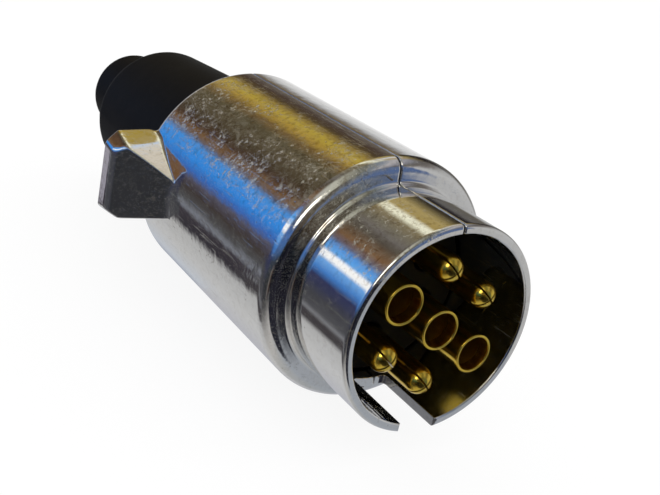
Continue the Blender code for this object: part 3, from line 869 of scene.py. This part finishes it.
def keyway_tool():
    """A slot from the rim through the bottom of the nose, with rounded corners at its closed
    end and eased corners at its mouth."""
    half, end, corner, ease = 3.7, -2.9, 1.1, 0.45
    side = [(half + ease, RIM_Y - 2), (half + ease, RIM_Y)]
    side += [(half + ease - ease * math.sin(a), RIM_Y + ease - ease * math.cos(a))
             for a in np.radians((30, 60, 90))]
    side += [(half - corner + corner * math.cos(a), end - corner + corner * math.sin(a))
             for a in np.radians(np.linspace(0, 90, 7))]
    loop = side + [(-x, y) for x, y in reversed(side)]
    return prism("keyway", [(x, y, -23.0) for x, y in loop], [(x, y, -11.0) for x, y in loop])


# clearance hole with a wider seat for the screw's head, along +X in the split frame
RIGHT_SCREW_HOLE = [(0, -2), (1.8, -2), (1.8, 6.5), (2.9, 6.5), (2.9, 26), (0, 26)]
CABLE_R = 5.5  # trough through the cradle


def shell_half(name, side):
    obj = shell_surface(name, side)
    screws = [(y, z) for y in SHELL_SCREW_YS for z in SHELL_SCREW_ZS]
    added = [screw_boss(y, z, side) for y, z in screws]
    if side == LEFT:
        # a key for the carrier's slot, and a cradle under the cable clamp
        added.append(block((-20.6, -17.9), (3.6, 9.0), (-1.5, 1.5)))
        added.append(within_body(block((-24, -1.0), (40.5, 45.5), (-13.6, 13.6), SPLIT)))
    cut(obj, *added, operation="UNION")
    tools = [keyway_tool()]
    if side == LEFT:
        tools += [cross_rod(1.7, -10.2, 2, y, z) for y, z in screws]
        tools.append(rod(CABLE_R, 39, 47, 64))
        tools += [cross_rod(1.5, -13.5, 1, CLAMP_Y, z) for z in CLAMP_SCREW_ZS]
    else:
        tools += [cutter(RIGHT_SCREW_HOLE, 40, on_split(y, z) @ ALONG_X) for y, z in screws]
    cut(obj, *tools)
    return shade(obj, 33)


piece(shell_half("left_shell_fine", LEFT), "left_shell", "housing", CHROME)
piece(shell_half("right_shell_fine", RIGHT), "right_shell", "right_half", CHROME)

# --- carrier ---
# (radius, y, fillet): a disc with a flange, and a narrower part behind
CARRIER_PROFILE = [
    (0, 0, 0), (17.1, 0, 0.35), (17.1, 4.3, 0.1), (20.0, 4.3, 0.35), (20.0, 8.3, 0.35),
    (17.1, 8.3, 0.1), (17.1, 11.0, 0.1), (14.6, 11.8, 0.6), (14.6, 18.0, 0.5), (0, 18.0, 0),
]
TUBE_HOLE = [
    (0, -1), (4.3, -1), (4.3, 0.0), (4.0, 0.3), (4.0, 2.3), (2.9, 2.3), (2.9, 20), (0, 20),
]
PIN_HOLE = [(0, -1), (3.1, -1), (3.1, 0.0), (2.8, 0.3), (2.8, 20), (0, 20)]


def carrier():
    obj = turned("contact_carrier_fine", open_rounded(CARRIER_PROFILE, 4), 120)
    tools = [cutter(TUBE_HOLE, 48, at(site)) for site in TUBES.values()]
    tools += [cutter(PIN_HOLE, 44, at(site)) for site in PINS.values()]
    key_slot = block((-22, -17.6), (2, 9.6), (-1.8, 1.8))
    cut(obj, *tools, key_slot)
    return shade(obj, 32)


piece(carrier(), "contact_carrier", "housing", CARRIER)

# --- contacts ---
CONTACT_END, CENTRE_END = 29.0, 38.0
SETBACK = 4.3  # from a contact's rear end to its terminal screw
TUBE_MOUTH, PIN_TIP = -17.6, -17.8
PIN_R, DOME_LENGTH = 2.5, 2.4
CONTACT_SPACING = dict(step=4.0, support=0.1)


def contact_end(site):
    return CENTRE_END if site == CENTRE else CONTACT_END


def terminal_place(site):
    """The terminal screw's place, with local X away from the plug's axis."""
    x, z = site
    direction = math.radians(60) if site == CENTRE else math.atan2(z, x)
    place = Matrix.Translation((x, contact_end(site) - SETBACK, z))
    return place @ Matrix.Rotation(-direction, 4, "Y")


def terminal_cuts(site):
    """A wire bore from the rear, and a cross hole for the terminal screw."""
    end = contact_end(site)
    floor_y = end - SETBACK - 4.0
    profile = [
        (0, floor_y), (1.5, floor_y), (1.5, end - 0.35), (1.9, end + 0.1), (1.9, end + 2),
        (0, end + 2),
    ]
    bore = cutter(profile, 36, at(site))
    return bore, rod(1.3, 0.5, 5, 32, terminal_place(site) @ ALONG_X)


def rear_profile(radius, site):
    """The shank behind the given radius, as (radius, y, fillet), back to the axis."""
    end = contact_end(site)
    return [(radius, 18.3, 0.1), (3.0, 18.3, 0.2), (3.0, end, 0.4), (0, end, 0)]


def tube(name, site):
    profile = open_rounded([
        (0, 0, 0), (2.0, 0, 0), (2.55, -0.6, 0.1), (2.60, TUBE_MOUTH + 12.0, 0.2),
        (3.10, TUBE_MOUTH + 0.75, 0.3), (3.20, TUBE_MOUTH + 0.05, 0.12),
        (3.64, TUBE_MOUTH, 0.18), (3.70, TUBE_MOUTH + 0.6, 0.3), (3.70, 2.0, 0.15),
        (2.6, 2.0, 0.1), *rear_profile(2.6, site)], 5, **CONTACT_SPACING)
    obj = turned(name, profile, 72, at(site))
    cut(obj, *terminal_cuts(site))
    return shade(obj, 32)


def paint_bore_shade(obj, site):
    """Gives the faces inside the socket the bore material, whose colour darkens deeper in as
    painted shade.
    """
    obj.data.materials.append(BORE_PAINTED_SHADE)
    for face in obj.data.polygons:
        centre = face.center / MM
        x, z = centre.x - site[0], centre.z - site[1]
        outward = x * face.normal.x + z * face.normal.z
        if -17.4 < centre.y < 0.1 and math.hypot(x, z) < 3.4 and outward < 0.5:
            obj.data.materials  # slot 1 is the bore
            face.material_index = 1


def cross_saw(site):
    """Two crossed saw cuts, as one cross-shaped cutter."""
    a, b = 0.17, 4.0  # half the cut's width, and half its length
    loop = [(a, a), (a, b), (-a, b), (-a, a), (-b, a), (-b, -a),
            (-a, -a), (-a, -b), (a, -b), (a, -a), (b, -a), (b, a)]
    bm = bmesh.new()
    face = bm.faces.new([bm.verts.new((x, PIN_TIP - 2, z)) for x, z in loop])
    made = bmesh.ops.extrude_face_region(bm, geom=[face])["geom"]
    moved = [item for item in made if isinstance(item, bmesh.types.BMVert)]
    bmesh.ops.translate(bm, vec=(0, 11.0, 0), verts=moved)
    turn = Matrix.Rotation(math.radians(45 + 1.3), 4, "Y")
    return object_from("saw", bm, at(site) @ turn)


def pin(name, site):
    dome_end = PIN_TIP + DOME_LENGTH
    dome = [(PIN_R * math.sin(a), PIN_TIP + DOME_LENGTH * (1 - math.cos(a)))
            for a in np.radians(np.linspace(0, 90, 15))]
    rest = open_rounded([(0, dome_end, 0), (PIN_R, dome_end, 0), *rear_profile(PIN_R, site)], 4,
                        **CONTACT_SPACING)
    rest = rest[nearest(rest, PIN_R, dome_end) + 1:]
    obj = turned(name, dome + list(rest), 64, at(site))
    cut(obj, cross_saw(site), *terminal_cuts(site))
    return shade(obj, 32)


for key, site in TUBES.items():
    contact = tube(f"tube_contact_{key}_fine", site)
    piece(contact, f"tube_contact_{key}", "housing", BRASS)
    paint_bore_shade(contact, site)

for key, site in PINS.items():
    contact = pin(f"pin_contact_{key}_fine", site)
    piece(contact, f"pin_contact_{key}", "housing", BRASS)


# --- screws ---
def cheese_head(seat, radius, height):
    """A flat-topped head, as points after the neck."""
    corner = 0.45
    arc = [(radius - corner + corner * math.cos(a), seat + height - corner + corner * math.sin(a))
           for a in np.radians(np.linspace(0, 90, 6))]
    top = seat + height
    return [(radius - 0.15, seat), (radius, seat + 0.15)] + arc + [(radius * 0.5, top), (0, top)]


# crest and root are radii of the thread, which runs from tip to neck; head is (radius, y)
TERMINAL_SCREW = dict(
    crest=1.1, root=0.90, pitch=0.45, tip=1.6, neck=4.7,
    head=[(0.95, 4.75), (1.0, 4.9), (0.9, 5.0), (0, 5.0)], slot_half=0.26, slot_floor=4.15)
SHELL_SCREW = dict(
    crest=1.5, root=1.22, pitch=0.6, tip=-8.5, neck=6.8,
    head=cheese_head(seat=6.8, radius=2.6, height=2.0), slot_half=0.38, slot_floor=7.95)
CLAMP_SCREW = dict(
    crest=1.3, root=1.05, pitch=0.55, tip=-9.0, neck=2.7,
    head=cheese_head(seat=2.7, radius=2.4, height=1.7), slot_half=0.33, slot_floor=3.6)
ROWS_PER_TURN = 8
TIP_TAPER = 0.25


def screw(node, body, place, crest, root, pitch, tip, neck, head, slot_half, slot_floor):
    """A slotted screw along the local X of its place, with a cut thread."""
    def thread(y):
        """Radius of the thread at y, as a function of the angle."""
        lead = min(1.0, (y - tip) / 0.7)
        runout = clamped((neck - 0.3 - y) / 0.6)

        def radius(angle):
            phase = (y / pitch - angle / (2 * math.pi)) % 1.0
            ridge = clamped((1 - abs(2 * phase - 1)) * 1.25 - 0.1)
            return (root - TIP_TAPER * (1 - lead)) + (crest - root) * ridge * lead * runout
        return radius

    rows = max(12, int((neck - tip) / pitch * ROWS_PER_TURN))
    profile = [(0, tip), (root - TIP_TAPER, tip)]
    for j in range(rows + 1):
        y = tip + 0.08 + (neck - tip - 0.08) * j / rows
        profile.append((thread(y), y))
    obj = turned(f"{node}_fine", profile + head, 40, place @ ALONG_X)
    top = head[-1][1]
    cut(obj, block((slot_floor, top + 1), (-slot_half, slot_half), (-5, 5), place))
    piece(shade(obj, 30), node, body, SCREW)


for kind, sites in (("tube", TUBES), ("pin", PINS)):
    for key, site in sites.items():
        node = f"terminal_screw_{kind}_{key}"
        screw(node, f"{node}_body", terminal_place(site), **TERMINAL_SCREW)

for end, y in zip(("front", "rear"), SHELL_SCREW_YS):
    for level, z in zip(("upper", "lower"), SHELL_SCREW_ZS):
        node = f"shell_screw_{end}_{level}"
        screw(node, f"{node}_body", on_split(y, z), **SHELL_SCREW)

for level, letter, z in zip(("upper", "lower"), "ab", CLAMP_SCREW_ZS):
    screw(f"clamp_screw_{level}", f"clamp_screw_{letter}", on_split(CLAMP_Y, z), **CLAMP_SCREW)


# --- clamp strap ---
def strap():
    """An arch over the cable with a flat ear above and below, in the split frame."""
    ear_x, thickness, reach, half_width = 0.8, 1.6, 13.5, 2.4
    arch_z, arch_x = 5.6, 4.8  # half height of the arch's inside, and its rise
    outer_z, outer_x = arch_z + thickness, ear_x + thickness
    inner = [(arch_z * math.cos(a), ear_x + arch_x * math.sin(a))
             for a in np.radians(np.arange(0, 181, 6))]
    outer = [(outer_z * math.cos(a), outer_x + arch_x * math.sin(a))
             for a in np.radians(np.arange(180, -1, -6))]
    loop = [(reach, ear_x)] + inner + [(-reach, ear_x), (-reach, outer_x)]
    loop += outer + [(reach, outer_x)]
    near, far = ([(x, y, z) for z, x in loop]
                 for y in (CLAMP_Y - half_width, CLAMP_Y + half_width))
    obj = prism("clamp_saddle_fine", near, far, SPLIT)
    cut(obj, *[cross_rod(1.6, -1, 5, CLAMP_Y, z) for z in CLAMP_SCREW_ZS])
    bevel = obj.modifiers.new("edges", "BEVEL")
    bevel.width = 0.22 * MM
    bevel.segments = 3
    bevel.limit_method = "ANGLE"
    bevel.angle_limit = math.radians(45)
    apply_modifiers(obj)
    return shade(obj, 35)


piece(strap(), "clamp_saddle", "clamp_strap", STRAP)

# --- cable boot ---
# (radius, y, fillet): a flange held in the shell, a wide sleeve and a narrow neck
BOOT_SECTION = [
    (15.5, 50.0, 0.3), (20.7, 50.0, 0.4), (20.7, 53.0, 0.4), (18.8, 53.0, 0.4),
    (18.8, 62.0, 6.0), (16.75, 104.6, 5.2), (10.9, 105.4, 0.8), (10.6, 124.9, 2.8),
    (5.5, 124.9, 0.5), (5.5, 102.6, 1.0), (13.2, 97.6, 3.0), (15.0, 60.0, 3.0),
]
BOOT_STEPS = 128


def boot():
    loop = rounded(BOOT_SECTION, 7, step=3.0, support=0.3)
    n = len(loop)
    angles = 2 * np.pi * np.arange(BOOT_STEPS) / BOOT_STEPS
    verts = np.stack([
        loop[None, :, 0] * np.cos(angles)[:, None],
        np.broadcast_to(loop[None, :, 1], (BOOT_STEPS, n)),
        loop[None, :, 0] * np.sin(angles)[:, None],
    ], axis=2).reshape(-1, 3)
    faces = []
    for k in range(BOOT_STEPS):
        this, following = k * n, (k + 1) % BOOT_STEPS * n
        for i in range(n):
            j = (i + 1) % n
            faces.append((this + i, this + j, following + j, following + i))

    # unevenness of a soft moulding, and a faint parting line along its sides
    y = verts[:, 1]
    angle = np.arctan2(verts[:, 2], verts[:, 0])
    radius = np.hypot(verts[:, 0], verts[:, 2])
    outside = np.clip((radius - 9.5) / 3, 0, 1) * np.clip((y - 56) / 6, 0, 1)
    wave = 0.07 * np.sin(2 * angle + 0.4 + y * 0.05) + 0.05 * np.sin(3 * angle + 1.1 - y * 0.09)
    line = 0.09 * np.exp(-((np.abs(np.cos(angle)) - 1) / 0.0012) ** 2 / 2)
    scale = 1 + outside * (wave - 0.12 + line) / np.maximum(radius, 1)
    verts[:, 0] *= scale
    verts[:, 2] *= scale
    return shade(object_of("cable_boot_fine", verts, faces), 40)


piece(boot(), "cable_boot", "housing", RUBBER)

# --- floor ---
FLOOR_SIZE, FLOOR_Z, FLOOR_CELLS = 8000, -23.9, 24


def floor():
    """A white floor that mostly glows to the camera, and isn't seen in reflections."""
    bm = bmesh.new()
    marks = [(i / FLOOR_CELLS - 0.5) * FLOOR_SIZE for i in range(FLOOR_CELLS + 1)]
    grid = [[bm.verts.new((x, y, FLOOR_Z)) for y in marks] for x in marks]
    for i in range(FLOOR_CELLS):
        for j in range(FLOOR_CELLS):
            bm.faces.new((grid[i][j], grid[i + 1][j], grid[i + 1][j + 1], grid[i][j + 1]))
    obj = object_from("floor", bm)
    if obj.data.polygons[0].normal.z < 0:
        obj.data.flip_normals()
    material, tree = new_material("floor_white")
    cloudy = tree.noise(tree.coordinates("Object"), scale=3.0)
    colour = tree.mix(cloudy, (0.90, 0.90, 0.90), (0.93, 0.93, 0.93))
    matt = tree.add("ShaderNodeBsdfDiffuse", inputs={"Color": colour})
    glow = tree.add("ShaderNodeEmission", inputs={"Color": (1, 1, 1), "Strength": 1.03})
    camera_ray = tree.add("ShaderNodeLightPath", output="Is Camera Ray")
    share = tree.times(camera_ray, by=0.86)
    tree.surface(tree.add("ShaderNodeMixShader", share, matt, glow))
    obj.data.materials.append(material)
    obj.visible_glossy = False


floor()

# --- surroundings ---
# What reflections see around the plug's axis, as (turn in degrees, sRGB or grey). Turn 0 is
# +X and 90 is +Z. REAR_FAR is nearest to +Y, then REAR_NEAR, FRONT, and FRONT_CAP about -Y.
REAR_FAR = [
    (-22, 232), (-8, 224), (2, 208), (12, 198), (19, 165), (25, (112, 103, 92)),
    (34, (100, 92, 84)), (42, (72, 60, 52)), (51, (76, 62, 42)), (58, (138, 116, 58)),
    (66, (172, 150, 62)), (76, (160, 132, 58)), (85, (106, 84, 50)), (95, (84, 76, 56)),
    (111, (82, 73, 56)), (122, (66, 56, 42)), (131, (70, 54, 44)), (139, (112, 84, 56)),
    (145, (98, 92, 96)), (151, (66, 140, 214)), (165, (52, 132, 214)), (175, (58, 102, 176)),
    (182, (82, 80, 94)), (190, (60, 53, 50)), (203, (76, 76, 78)), (210, (118, 121, 130)),
    (215, (58, 54, 60)), (228, (52, 49, 55)), (236, 172), (262, 186), (290, (184, 189, 197)),
    (308, (155, 160, 172)),
]
REAR_NEAR = [
    (-22, 182), (-5, 165), (3, (92, 88, 80)), (19, (94, 92, 90)), (26, (40, 36, 38)),
    (37, (42, 37, 32)), (45, (112, 100, 68)), (54, (162, 144, 92)), (66, (158, 138, 82)),
    (71, (236, 234, 210)), (76, (234, 232, 206)), (82, (124, 112, 84)), (96, (108, 102, 88)),
    (105, (104, 99, 94)), (114, (78, 71, 62)), (130, (116, 86, 58)), (138, (98, 92, 104)),
    (145, (84, 150, 222)), (152, (98, 166, 232)), (155, 250), (160, 248),
    (164, (110, 166, 226)), (174, (68, 122, 192)), (182, (50, 54, 86)), (200, (64, 65, 70)),
    (213, (76, 76, 80)), (218, (118, 119, 123)), (222, (64, 61, 64)), (229, (66, 63, 66)),
    (235, 172), (265, 188), (305, (174, 175, 182)),
]
FRONT = [
    (-28, 172), (14, 180), (24, 168), (33, (118, 113, 110)), (41, (92, 88, 84)),
    (52, (138, 138, 146)), (62, (172, 168, 168)), (72, (118, 128, 140)), (86, (104, 104, 94)),
    (100, (150, 148, 134)), (113, (182, 182, 168)), (126, (166, 164, 156)),
    (138, (110, 104, 100)), (150, (78, 90, 112)), (160, (72, 106, 164)), (172, (66, 100, 150)),
    (184, (50, 56, 66)), (197, (44, 45, 48)), (214, (56, 56, 60)), (225, (104, 103, 102)),
    (238, (156, 154, 152)), (252, (176, 174, 171)), (270, (163, 164, 164)),
    (300, (152, 157, 164)), (322, (150, 154, 160)),
]
FRONT_CAP = [
    (-30, (92, 104, 130)), (0, (80, 100, 140)), (35, (90, 104, 132)), (70, (104, 112, 124)),
    (100, (86, 80, 70)), (145, (80, 72, 62)), (178, (24, 28, 34)), (225, (32, 32, 40)),
    (270, (34, 34, 42)), (300, (40, 40, 48)), (322, (30, 30, 38)),
]
# (position along Y, linear colour); the doorway's positions are counted towards -Y
DOORWAY = [
    (0.46, (0.17, 0.16, 0.15)), (0.53, (0.07, 0.055, 0.045)), (0.58, (0.050, 0.026, 0.022)),
    (0.64, (0.014, 0.013, 0.016)), (0.80, (0.006, 0.007, 0.011)),
]
WALL = [(0.30, (0.42, 0.36, 0.28)), (0.40, (0.62, 0.56, 0.46)), (0.46, (0.52, 0.60, 0.72))]
SEAM = 30  # the ramps start this many degrees before +X


def turn_position(turn):
    """Place of a turn on a ramp that starts at the seam."""
    return ((turn + SEAM) % 360) / 360


def turn_stops(table):
    stops = [(turn_position(turn), linear_rgb(tone if isinstance(tone, tuple) else (tone,) * 3))
             for turn, tone in table]
    return sorted(stops, key=lambda stop: stop[0])


def surroundings():
    """A soft white room for light. Mirror-like surfaces see a quiet interior around the plug's
    axis instead: a pale floor, dark furniture, a warm lit strip, a strip of sky and a wall."""
    world = bpy.data.worlds.new("studio")
    bpy.context.scene.world = world
    world.use_nodes = True
    tree = Tree(world.node_tree)
    x, y, z = tree.axes(tree.coordinates("Generated"))
    turn = tree.math("ARCTAN2", z, x)
    turn = tree.linear(turn, slope=1 / (2 * math.pi), offset=SEAM / 360)
    turn = tree.math("FRACT", turn)

    def turn_window(*turns):
        return tree.window(turn, *[turn_position(degrees) for degrees in turns])

    far, near, front, cap = (tree.ramp(turn, turn_stops(table))
                             for table in (REAR_FAR, REAR_NEAR, FRONT, FRONT_CAP))

    # the border between near and far slants a little with the turn
    depth = tree.linear(turn, slope=-0.09, offset=y)
    rear = tree.mix(tree.smoothstep(depth, low=0.713, high=0.726), near, far)
    # a pale strip that only the lug's land looks at
    strip = tree.times(turn_window(210, 214, 224, 228),
                       tree.smoothstep(y, low=0.864, high=0.874))
    rear = tree.mix(strip, rear, (0.30, 0.285, 0.33))
    wall = tree.times(turn_window(48, 56, 68, 78), tree.window(y, 0.20, 0.30, 0.46, 0.56))
    seen = tree.mix(tree.smoothstep(y, low=-0.712, high=-0.748), front, cap)
    # a dark doorway that the lug's ramp looks into
    door = tree.times(turn_window(186, 192, 210, 218),
                      tree.smoothstep(y, low=-0.40, high=-0.46))
    seen = tree.mix(door, seen, tree.ramp(tree.times(y, by=-1.0), DOORWAY))
    # a lamp in front, up to the left
    lamp = tree.times(turn_window(120, 128, 148, 156),
                      tree.window(y, -0.64, -0.56, -0.42, -0.34))
    seen = tree.mix(tree.smoothstep(y, low=-0.08, high=0.34), seen, rear)
    seen = tree.mix(wall, seen, tree.ramp(y, WALL))
    seen = tree.mix(lamp, seen, (3.6, 3.4, 2.9))
    # straight behind it is plain grey
    seen = tree.mix(tree.smoothstep(y, low=0.90, high=0.985), seen, (0.35, 0.35, 0.36))

    mirror = tree.add("ShaderNodeBackground", inputs={"Color": seen, "Strength": 1.12})
    plain = tree.add("ShaderNodeBackground", inputs={"Color": (1, 1, 1), "Strength": 1.0})
    glossy = tree.add("ShaderNodeLightPath", output="Is Glossy Ray")
    shader = tree.add("ShaderNodeMixShader", glossy, plain, mirror)
    tree.add("ShaderNodeOutputWorld", shader, output=None)
    # worlds have these settings only where Cycles is enabled
    if hasattr(world, "cycles"):
        world.cycles.sampling_method = "NONE"


surroundings()

# --- camera ---
CAMERA_PLACE = (-100.33, -118.6, 61.75)
CAMERA_RIGHT = (0.8299, -0.5182, 0.2068)
CAMERA_AHEAD = (0.5575, 0.7550, -0.3452)


def add_camera():
    data = bpy.data.cameras.new("camera")
    data.lens = 51.18
    data.sensor_width = 36
    data.clip_start = 0.005
    data.clip_end = 20
    camera = linked("camera", data)
    ahead = Vector(CAMERA_AHEAD).normalized()
    up = Vector(CAMERA_RIGHT).normalized().cross(ahead).normalized()
    right = ahead.cross(up).normalized()
    axes = Matrix((right, up, -ahead)).transposed().to_4x4()
    camera.matrix_world = Matrix.Translation(Vector(CAMERA_PLACE) * MM) @ axes
    bpy.context.scene.camera = camera


add_camera()
bpy.context.scene.view_settings.view_transform = "Standard"
bpy.context.scene.view_settings.look = "None"
